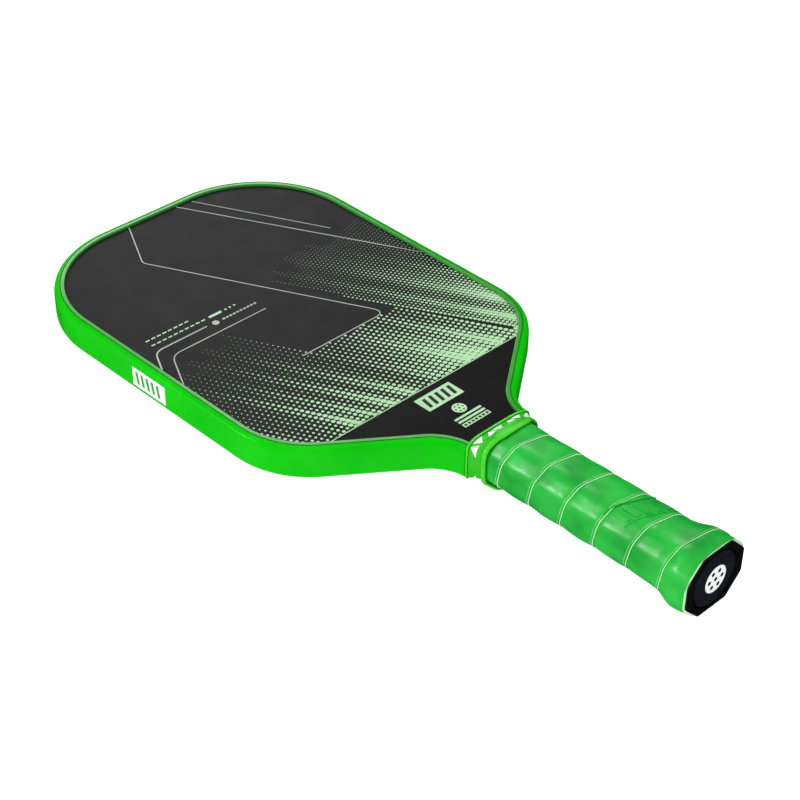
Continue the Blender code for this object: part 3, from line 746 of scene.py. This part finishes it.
def octagon_ring(half_width, half_height, bevel_x, bevel_z, softness):
    """An octagon with rounded corners, as points evenly spaced round it from the right side."""
    steps = 8
    corners = [Vector(p) for p in (
        (half_width, bevel_z - half_height), (half_width, half_height - bevel_z),
        (half_width - bevel_x, half_height), (bevel_x - half_width, half_height),
        (-half_width, half_height - bevel_z), (-half_width, bevel_z - half_height),
        (bevel_x - half_width, -half_height), (half_width - bevel_x, -half_height),
    )]
    dense = []
    for i, here in enumerate(corners):
        before, after = corners[i - 1], corners[(i + 1) % 8]
        start, end = here.lerp(before, softness), here.lerp(after, softness)
        for t in [k / steps for k in range(steps + 1)]:
            dense.append(start.lerp(here, t).lerp(here.lerp(end, t), t))
    middle = Vector((half_width, 0.0))
    dense = [middle] + dense[steps + 1:] + dense[:steps + 1] + [middle]
    lengths = [0.0]
    for a, b in zip(dense, dense[1:]):
        lengths.append(lengths[-1] + (b - a).length)
    ring, k = [], 0
    for i in range(RING):
        goal = lengths[-1] * i / RING
        while lengths[k + 1] < goal:
            k += 1
        share = (goal - lengths[k]) / max(lengths[k + 1] - lengths[k], 1e-9)
        ring.append(dense[k].lerp(dense[k + 1], share))
    return ring


BEVEL_SHARES = (0.5, 0.56)  # of the half width and half height, that the bevels take
BEVEL_GROWTH = 0.3          # how much of an offset they grow by
SOFTNESS = 0.3              # how much of each side its rounded corners take


def flare(y):
    """How much of the flare there is at a height: all of it at the butt, none past the skirt."""
    run = held(1.0 - (y - FLARE_FULL) / (SKIRT_END - FLARE_FULL))
    return eased(run) * FLARE_EASE + run * run * (1.0 - FLARE_EASE)


def handle_ring(y, grow, softness=SOFTNESS):
    """The handle's octagon at a height, grown by an offset."""
    f = flare(y)
    half_width = BARE_HALF_WIDTH + f * FLARE_WIDTH
    half_height = BARE_HALF_HEIGHT + f * FLARE_HEIGHT
    bevel_x = BEVEL_SHARES[0] * half_width + BEVEL_GROWTH * grow
    bevel_z = BEVEL_SHARES[1] * half_height + BEVEL_GROWTH * grow
    return octagon_ring(half_width + grow, half_height + grow, bevel_x, bevel_z, softness)


def ring_point(ring, share):
    """The point at a share of a turn, between two of a ring's points."""
    place = (share % 1.0) * len(ring)
    i = int(place)
    return ring[i % len(ring)].lerp(ring[(i + 1) % len(ring)], place - i)


# -------- the grip

BULGE = 1.5                 # how far the strip bulges where it is drawn over the flare
BULGE_Y = 11.5
BULGE_RUN = 7.0
# The cushion's gentle unevenness, as (size across, size along, height, shift of the noise).
LUMPS = ((13.0, 9.0, 0.22, 0.0), (5.0, 3.5, 0.07, 7.0))
LUMP_RUN = 4.0              # there is none at the butt, and all of it this far from there
LEAST_STRIP = 0.8           # no narrower end of the strip is drawn
LEAST_THICKNESS = 0.5
# The pale cut edge round the butt end, as (distance from the grip's start, offset from the octagon).
CUT_EDGE = ((-0.15, 0.9), (-0.15, 2.1), (0.0, 2.38), (0.4, 2.48), (0.65, 2.4), (0.7, 1.2))
EMBOSS_LAYERS = (-0.3, 0.42)    # how far the raised mark's two sides lie out from the grip
# Its five bars and two lines, as (shares of a turn, heights, climb).
EMBOSS = (
    (0.165, 0.187, 34.5, 43.5, 1.1), (0.209, 0.231, 36.7, 45.7, 1.1), (0.253, 0.275, 38.9, 47.9, 1.1),
    (0.297, 0.319, 41.1, 50.1, 1.1), (0.341, 0.363, 43.3, 52.3, 1.1),
    (0.15, 0.385, 32.2, 33.0, 11.5), (0.15, 0.385, 45.4, 46.2, 11.5),
)


def grip_profile():
    """The strip across its width, as (distance from its exposed edge, height, finish) triples."""
    return (
        (0.00, -0.70, 0), (0.02, -0.28, 1), (0.12, -0.06, 1), (0.28, 0.0, 0), (0.7, -0.04, 0),
        (1.30, -0.16, 0), (1.48, -0.20, 0), (1.54, -0.10, 1), (1.66, -0.10, 0), (1.72, -0.20, 0),
        (2.0, -0.16, 0), (2.6, -0.06, 0), (4.0, 0.02, 0), (6.0, 0.08, 0), (8.0, 0.13, 0), (10.0, 0.15, 0),
        (12.0, 0.13, 0), (14.0, 0.06, 0), (16.0, -0.06, 0), (18.0, -0.20, 0), (20.0, -0.38, 0),
        (GRIP_PITCH - 0.1, -0.50, 0), (GRIP_PITCH + 0.25, -0.62, 0),
    )


def lumps(x, y, z):
    """How far the cushion stands out at a point by its unevenness."""
    total = 0.0
    for across_size, along_size, height, shift in LUMPS:
        total += height * noise.noise(Vector((x / across_size + shift, y / along_size, z / across_size)))
    return total


def bulge(y):
    return BULGE * math.exp(-((y - BULGE_Y) / BULGE_RUN) ** 2)


def make_grip(surfaces):
    """The cushioned strip, wound from the butt, each turn lapping over the one before."""
    profile = grip_profile()
    rings = {}

    def surface_point(share, y, grow):
        key = round(y, 2)
        if key not in rings:
            rings[key] = (handle_ring(y, GRIP_UNDER), handle_ring(y, GRIP_OVER))
        under, over = rings[key]
        low, high = ring_point(under, share), ring_point(over, share)
        return low.lerp(high, (grow - GRIP_UNDER) / (GRIP_OVER - GRIP_UNDER))

    rows = []
    laps = math.ceil(GRIP_END / GRIP_PITCH) + 2
    for step in range(laps * RING):
        turn = step / RING - 1.0
        edge = GRIP_SEAM_Y + GRIP_PITCH * (turn - SEAM_SHARE)
        if edge > GRIP_END - LEAST_STRIP or edge + GRIP_PITCH < GRIP_START + LEAST_STRIP:
            continue
        over, under = [], []
        for offset, height, _ in profile:
            y = min(max(edge + offset, GRIP_START), GRIP_END)
            grow = GRIP_OVER + height
            point = surface_point(turn, y, grow)
            grow += bulge(y) + lumps(point.x, y, point.y) * min(1.0, (y - GRIP_START) / LUMP_RUN)
            point = surface_point(turn, y, max(grow, GRIP_UNDER + LEAST_THICKNESS))
            over.append(at(point.x, y, point.y))
            point = surface_point(turn, y, GRIP_UNDER)
            under.append(at(point.x, y, point.y))
        rows.append(under[::-1] + over)
    paint = [0] * len(profile) + [finish for _, _, finish in profile[:-1]] + [0]
    bm = bmesh.new()
    add_rows(bm, rows, paint=paint)
    bmesh.ops.remove_doubles(bm, verts=bm.verts, dist=0.002 * MM)
    grip = add_piece("grip_cushion", bm, [surfaces["grip"], surfaces["edge"]], 40, ["grip_wrap"])


def make_cut_edge(surfaces):
    rows = []
    for rise, grow in CUT_EDGE:
        rows.append([at(p.x, GRIP_START + rise, p.y) for p in handle_ring(GRIP_START + rise, grow)])
    rows_piece("grip_cut_edge", rows, [surfaces["edge"]], 40, loop=True)


def add_grip_patch(bm, low_share, high_share, low_y, high_y, lean):
    """A plate on the grip. Lean slants it along the handle."""
    def place(up, along, out):
        share = low_share + (high_share - low_share) * along
        y = low_y + (high_y - low_y) * up + lean * along
        point = ring_point(handle_ring(y, GRIP_OVER + out), share)
        swell = lumps(point.x, y, point.y)
        point = ring_point(handle_ring(y, GRIP_OVER + out + swell), share)
        return at(point.x, y, point.y)

    add_plate(bm, rows=4, columns=10, outs=EMBOSS_LAYERS, place=place)


def make_emboss(surfaces):
    """Raised plain bars across the front of the grip, between two raised lines."""
    bm = bmesh.new()
    for patch in EMBOSS:
        add_grip_patch(bm, *patch)
    add_piece("grip_emboss", bm, [surfaces["grip"]], 40)


# -------- the collar

FOOT_SOFTNESS = 0.26
HEAD_SOFTNESS = 0.4
HEAD_BEVEL = 2.6
MOUTH_BEVEL = 1.5
THIN_RIB_FOOT = 1.6         # from the rim to the thin rib's lower side
BAND_STEPS = 12
# The ribs' sections, as (height out from the sleeve, distance from its end, finish). Finish 1 paints a
# highlight on the ribs, and finish 2 paints shade at their edges.
THICK_RIB = (
    (-0.3, 0.0, 2), (0.35, 0.1, 1), (0.95, 0.4, 1), (1.25, 0.95, 1), (1.3, 1.6, 1), (1.15, 2.3, 1),
    (0.75, 2.8, 2), (0.1, 3.05, 2), (-0.15, 3.2, 2),
)
THIN_RIB = (
    (-0.05, 1.55, 2), (0.3, 1.4, 1), (0.58, 1.15, 1), (0.7, 0.8, 1), (0.66, 0.4, 1), (0.45, 0.12, 1),
    (0.0, 0.0, 0),
)
TRIANGLE_ROWS = (-21.4, 36.5)   # arc places of the first triangle, on the front and on the back
TRIANGLE_COUNT = 7
TRIANGLE_PITCH = 6.65
TRIANGLE_HALF = 3.4
# Triangles point to the head and to the butt in turn, as (base, tip, lean): shares of the band, and mm.
TRIANGLE_KINDS = ((0.42, 0.94, 1.1), (0.92, 0.40, -1.1))
TRIANGLE_LAYERS = (-0.1, 0.07)
# The finishing tape's section, as (distance from the sleeve's foot, offset from the octagon).
TAPE_SECTION = ((0.4, 2.6), (0.4, 2.7), (2.4, 2.7), (2.4, 2.6))


def collar_row(share, grow):
    """A ring of the sleeve, from the handle's octagon (0) to the oblong round the throat (1)."""
    foot = handle_ring(COLLAR_WAIST, COLLAR_FOOT_GROW + grow, FOOT_SOFTNESS)
    half_x, half_z = COLLAR_HEAD_HALF
    head = octagon_ring(half_x + grow, half_z + grow, HEAD_BEVEL, HEAD_BEVEL, HEAD_SOFTNESS)
    return [a.lerp(b, share ** BAND_SWELL) for a, b in zip(foot, head)]


def foot_height(x):
    """Where the collar's foot lies: it bows towards the head at the sides."""
    return COLLAR_FOOT + FOOT_BOW * eased(held((abs(x) - FOOT_FLAT) / FOOT_EASE))


def band_height(x, share):
    """The height of a point on the plain band, between the thick rib and the rim."""
    low = foot_height(x) + BAND_FOOT
    return low + (rim_height(x) - BAND_HEAD - low) * share


def raised(ring, height, rise, finish):
    """A ring's points at a rise over what height gives for each, and their finish."""
    return [at(p.x, height(p.x) + rise, p.y) for p in ring], finish


def collar_rows():
    """The sleeve up its outside, over the rim and down the bore, as (points, finish) pairs."""
    rows = [raised(collar_row(0.0, grow), foot_height, up, finish) for grow, up, finish in THICK_RIB]
    for k in range(BAND_STEPS + 1):
        share = k / BAND_STEPS
        # The band's last ring gets the painted shade, where it dips into the thin rib.
        finish = 2 if k == BAND_STEPS else 0
        rows.append(([at(p.x, band_height(p.x, share), p.y) for p in collar_row(share, 0.0)], finish))
    rows += [raised(collar_row(1.0, grow), rim_height, -down, finish) for grow, down, finish in THIN_RIB]
    mouth = octagon_ring(*COLLAR_MOUTH_HALF, MOUTH_BEVEL, MOUTH_BEVEL, SOFTNESS)
    bore = handle_ring(COLLAR_WAIST, COLLAR_BORE_GROW)
    rows += [raised(mouth, rim_height, 0.0, 0), raised(mouth, rim_height, -THIN_RIB_FOOT, 0)]
    return rows + [([at(p.x, COLLAR_WAIST, p.y) for p in bore], 0), raised(bore, foot_height, 0.0, 0)]


def band_point(place, share, out):
    """A point on the sloping band: arc place from the front's middle in mm, and share up the band."""
    ring = collar_row(share, out)
    around = sum((b - a).length for a, b in zip(ring, ring[1:] + ring[:1]))
    point = ring_point(ring, SEAM_SHARE - place / around)
    return at(point.x, band_height(point.x, share), point.y)


def triangle_patch(bm, corners):
    """A triangle laid on the band, as a closed thin plate of small triangles."""
    steps = 6
    a, b, c = [Vector(p) for p in corners]
    layers = []
    for out in TRIANGLE_LAYERS:
        grid = []
        for i in range(steps + 1):
            points = [a + (b - a) * (i / steps) + (c - a) * (j / steps) for j in range(steps + 1 - i)]
            grid.append([bm.verts.new(band_point(*point, out)) for point in points])
        for i in range(steps):
            for j in range(steps - i):
                bm.faces.new((grid[i][j], grid[i + 1][j], grid[i][j + 1]))
                if j < steps - i - 1:
                    bm.faces.new((grid[i + 1][j], grid[i + 1][j + 1], grid[i][j + 1]))
        layers.append(grid)
    under, over = layers
    border = [(i, 0) for i in range(steps + 1)] + [(steps - k, k) for k in range(1, steps + 1)]
    border += [(0, j) for j in range(steps - 1, 0, -1)]
    close_border(bm, under, over, border)


def make_collar(surfaces):
    """The rubber sleeve with its two ribs, and the white triangles printed round its band."""
    rows = collar_rows()
    bm = bmesh.new()
    add_rows(bm, [row for row, _ in rows], loop=True)
    for i, face in enumerate(bm.faces):
        face.material_index = rows[i // RING][1]
    # The ribs' crests get the painted highlight, and their edges the painted shade.
    finishes = [surfaces["collar"], surfaces["rib"], surfaces["crease"]]
    add_piece("collar_sleeve", bm, finishes, 40, ["collar"])
    bm = bmesh.new()
    for first in TRIANGLE_ROWS:
        for k in range(TRIANGLE_COUNT):
            middle = first + TRIANGLE_PITCH * k
            base, tip, lean = TRIANGLE_KINDS[k % 2]
            corners = ((middle - TRIANGLE_HALF, base), (middle + TRIANGLE_HALF, base), (middle + lean, tip))
            triangle_patch(bm, corners)
    add_piece("collar_triangles", bm, [surfaces["white"]], 40)


def make_finishing_tape(surfaces):
    """The tape that closes the wound grip, hidden under the collar's foot."""
    rows = [raised(handle_ring(GRIP_END, grow), foot_height, rise, 0)[0] for rise, grow in TAPE_SECTION]
    rows_piece("finishing_tape_wrap", rows, [surfaces["tape"]], 40, ["finishing_tape"], True)


# -------- the butt cap

POINT = 0.01                # radius of a disc's middle
CAP_EDGE = 0.3              # width of the small bevel round the end
CAP_BEVEL_SHARES = (0.5, 0.6)
CAP_BEVEL_INSET = 0.4
CAP_SOFTNESS = 0.05
SKIRT_GAP = 0.05            # between the skirt and the grip's octagon
SKIRT_INNER = 0.7
SKIRT_HEIGHTS = (4.0, 8.0, 13.0, 19.0, 24.0, SKIRT_END)
CAP_FLOOR = 3.5             # thickness of the end
DOME_TOP = 0.05             # from the butt end to the medallion's middle
DOME_DROP = 0.45            # and from there to its rim
DOME_SHARES = (0.985, 0.96, 0.92, 0.86, 0.78, 0.66, 0.5, 0.3, 0.1, 0.001)
MEDALLION_RIM = ((0.2, 1.0), (0.0, 0.9), (0.0, 0.65))   # (inset, height) up its edge
# The ball on the medallion, as (radius, height over the dome).
BALL_DISC = ((POINT, -0.1), (7.4, -0.1), (7.4, 0.04), (5.0, 0.05), (2.5, 0.05), (POINT, 0.05))
DISC_HOLE = 1.15
DISC_HOLE_RING = 4.6
DISC_HOLE_LAYERS = (-0.1, 0.08)


def cap_ring(inset):
    """The end's octagon, nearly sharp, inset by a distance."""
    bevel_x = CAP_BEVEL_SHARES[0] * CAP_HALF_WIDTH - CAP_BEVEL_INSET * inset
    bevel_z = CAP_BEVEL_SHARES[1] * CAP_HALF_HEIGHT - CAP_BEVEL_INSET * inset
    return octagon_ring(CAP_HALF_WIDTH - inset, CAP_HALF_HEIGHT - inset, bevel_x, bevel_z, CAP_SOFTNESS)


def circle_ring(radius, ring):
    """A circle whose points lie in the same directions as another ring's points."""
    return [p.normalized() * radius for p in ring]


def make_cap(surfaces):
    """The cap: a sharp octagonal end with a round recess, and the skirt that the grip covers."""
    outer = cap_ring(0.0)
    near = cap_ring(CAP_EDGE)
    stations = [
        (circle_ring(POINT, outer), RECESS_DEPTH), (circle_ring(RECESS_RADIUS - 0.5, outer), RECESS_DEPTH),
        (circle_ring(RECESS_RADIUS - 0.1, outer), RECESS_DEPTH - 0.2),
        (circle_ring(RECESS_RADIUS, outer), 0.35), (circle_ring(RECESS_RADIUS + 0.35, outer), 0.0),
        (near, 0.0), (outer, 0.25), (outer, CAP_FLANGE), (handle_ring(CAP_FLANGE, -SKIRT_GAP), CAP_FLANGE),
    ]
    stations += [(handle_ring(y, -SKIRT_GAP), y) for y in SKIRT_HEIGHTS]
    inner = handle_ring(SKIRT_END, -SKIRT_INNER)
    stations += [(inner, SKIRT_END), (inner, CAP_FLOOR), (circle_ring(POINT, outer), CAP_FLOOR)]
    rows = [[at(p.x, y, p.y) for p in ring] for ring, y in stations]
    rows_piece("cap_shell", rows, [surfaces["cap"]], 30, ["butt_cap"])


def dome(radius):
    """The medallion's front at a radius: nearly flat, dropping at its rounded rim."""
    share = radius / MEDALLION_RADIUS
    return DOME_TOP + DOME_DROP * share ** 4


def make_medallion(surfaces):
    """The domed disc in the recess, and a plain ball with holes on it."""
    turn = [direction(TURN * k / RING) for k in range(RING)]
    stations = [(POINT, MEDALLION_RIM[0][1])]
    stations += [(MEDALLION_RADIUS - inset, y) for inset, y in MEDALLION_RIM]
    stations += [(MEDALLION_RADIUS * share, dome(MEDALLION_RADIUS * share)) for share in DOME_SHARES]
    rows = [[at(d.x * r, y, d.y * r) for d in turn] for r, y in stations]
    rows_piece("medallion_dome", rows, [surfaces["medallion"]], 40, ["butt_medallion"])
    rows = [[at(d.x * r, dome(r) - out, d.y * r) for d in turn] for r, out in BALL_DISC]
    rows_piece("medallion_ball", rows, [surfaces["white"]], 40)
    bm = bmesh.new()
    middle = Vector((0.0, 0.0))
    for centre in [middle] + hole_ring(middle, DISC_HOLE_RING):
        hole = disc(centre, DISC_HOLE, 24)
        add_rows(bm, [[at(p.x, dome(p.length) - out, p.y) for p in hole] for out in DISC_HOLE_LAYERS])
    add_piece("medallion_holes", bm, [surfaces["medallion"]], 40)


# -------- carried-over nodes

NODE_FINISHES = {
    "face": ("front_skin", "back_skin"), "core": ("honeycomb_core",),
    "foam": ("perimeter_foam", "handle_half_front", "handle_half_back"),
    "scrim": ("front_scrim", "back_scrim"), "steel": ("cap_staple_front", "cap_staple_back"),
    "adhesive": ("edge_guard_tape", "handle_tape_front", "handle_tape_back", "medallion_pad"),
}


def finish_nodes(surfaces):
    for finish, nodes in NODE_FINISHES.items():
        for node in nodes:
            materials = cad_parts[node].data.materials
            materials.clear()
            materials.append(surfaces[finish])


# -------- stage, lights and camera

CAMERA_AZIMUTH = math.radians(-44.48)
CAMERA_ELEVATION = math.radians(36.70)
CAMERA_ROLL = math.radians(0.66)
CAMERA_DISTANCE = 0.96315
CAMERA_TARGET = Vector((-0.00951, -0.01364, 0.0))
CAMERA_LENS = 85.0
WHITE = (1.0, 1.0, 1.0, 1.0)
FLOOR_GLOW = 0.88
SKY_STRENGTH = 0.34


def make_camera():
    data = bpy.data.cameras.new("camera")
    data.lens = CAMERA_LENS
    data.clip_start = 0.01
    camera = add_object("camera", data)
    back = Vector((
        math.sin(CAMERA_AZIMUTH) * math.cos(CAMERA_ELEVATION),
        -math.cos(CAMERA_AZIMUTH) * math.cos(CAMERA_ELEVATION),
        math.sin(CAMERA_ELEVATION),
    ))
    camera.location = CAMERA_TARGET + back * CAMERA_DISTANCE
    camera.rotation_mode = "QUATERNION"
    level = (-back).to_track_quat("-Z", "Y")
    camera.rotation_quaternion = level @ Quaternion((0.0, 0.0, 1.0), CAMERA_ROLL)
    bpy.context.scene.camera = camera


def make_floor():
    """A pale floor under the lowest piece, which glows a little, so that its shadows stay light."""
    bm = bmesh.new()
    bmesh.ops.create_grid(bm, x_segments=2, y_segments=2, size=6.0)
    bmesh.ops.translate(bm, verts=bm.verts, vec=(0.0, 0.0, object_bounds()[0].z))
    mesh = bpy.data.meshes.new("floor")
    bm.to_mesh(mesh)
    bm.free()
    made, tree, shader, place = new_material("floor_white", 0.9, specular=0.1)
    tint = blend_colours(tree, noise_node(tree, place, 400.0), (0.54, 0.54, 0.54), (0.57, 0.57, 0.57))
    tree.links.new(tint, shader.inputs["Base Color"])
    set_inputs(shader, {"Emission Color": WHITE, "Emission Strength": FLOOR_GLOW})
    mesh.materials.append(made)
    floor = add_object("floor", mesh)
    floor.visible_glossy = False


# Softboxes, as (name, place, size in metres, power in watts, seen in gloss); each points at the paddle.
SOFTBOXES = (
    ("left_softbox", (-1.18, 0.72, 0.68), (0.36, 0.42), 7.0, True),
    ("back_softbox", (0.66, 1.25, 0.62), (0.7, 0.4), 2.3, True),
    ("lip_softbox", (0.70, 0.92, 0.93), (0.4, 0.4), 1.7, True),
    ("right_softbox", (0.90, -0.25, 1.15), (0.3, 0.45), 2.2, True),
    ("top_fill", (0.0, 0.0, 1.6), (1.6, 1.6), 17.0, False),
    ("front_fill", (-1.1, -1.1, 0.5), (1.2, 0.8), 8.0, False),
)


def make_lights():
    for name, place, size, power, glossy in SOFTBOXES:
        data = bpy.data.lights.new(name, "AREA")
        data.shape = "RECTANGLE"
        data.size, data.size_y = size
        data.energy = power
        light = add_object(name, data)
        light.location = place
        light.visible_glossy = glossy
        light.rotation_mode = "QUATERNION"
        light.rotation_quaternion = (-Vector(place)).to_track_quat("-Z", "Y")
    world = bpy.data.worlds.new("studio")
    world.use_nodes = True
    sky = world.node_tree.nodes["Background"]
    set_inputs(sky, {"Color": WHITE, "Strength": SKY_STRENGTH})
    world.cycles_visibility.glossy = False
    bpy.context.scene.world = world
    bpy.context.scene.view_settings.view_transform = "Standard"


def main():
    surfaces = make_materials()
    finish_nodes(surfaces)
    make_guard(surfaces)
    make_guard_label(surfaces)
    make_prints(surfaces, "front", 1)
    make_prints(surfaces, "back", -1)
    make_grip(surfaces)
    make_cut_edge(surfaces)
    make_emboss(surfaces)
    make_collar(surfaces)
    make_finishing_tape(surfaces)
    make_cap(surfaces)
    make_medallion(surfaces)
    make_floor()
    make_lights()
    make_camera()


main()
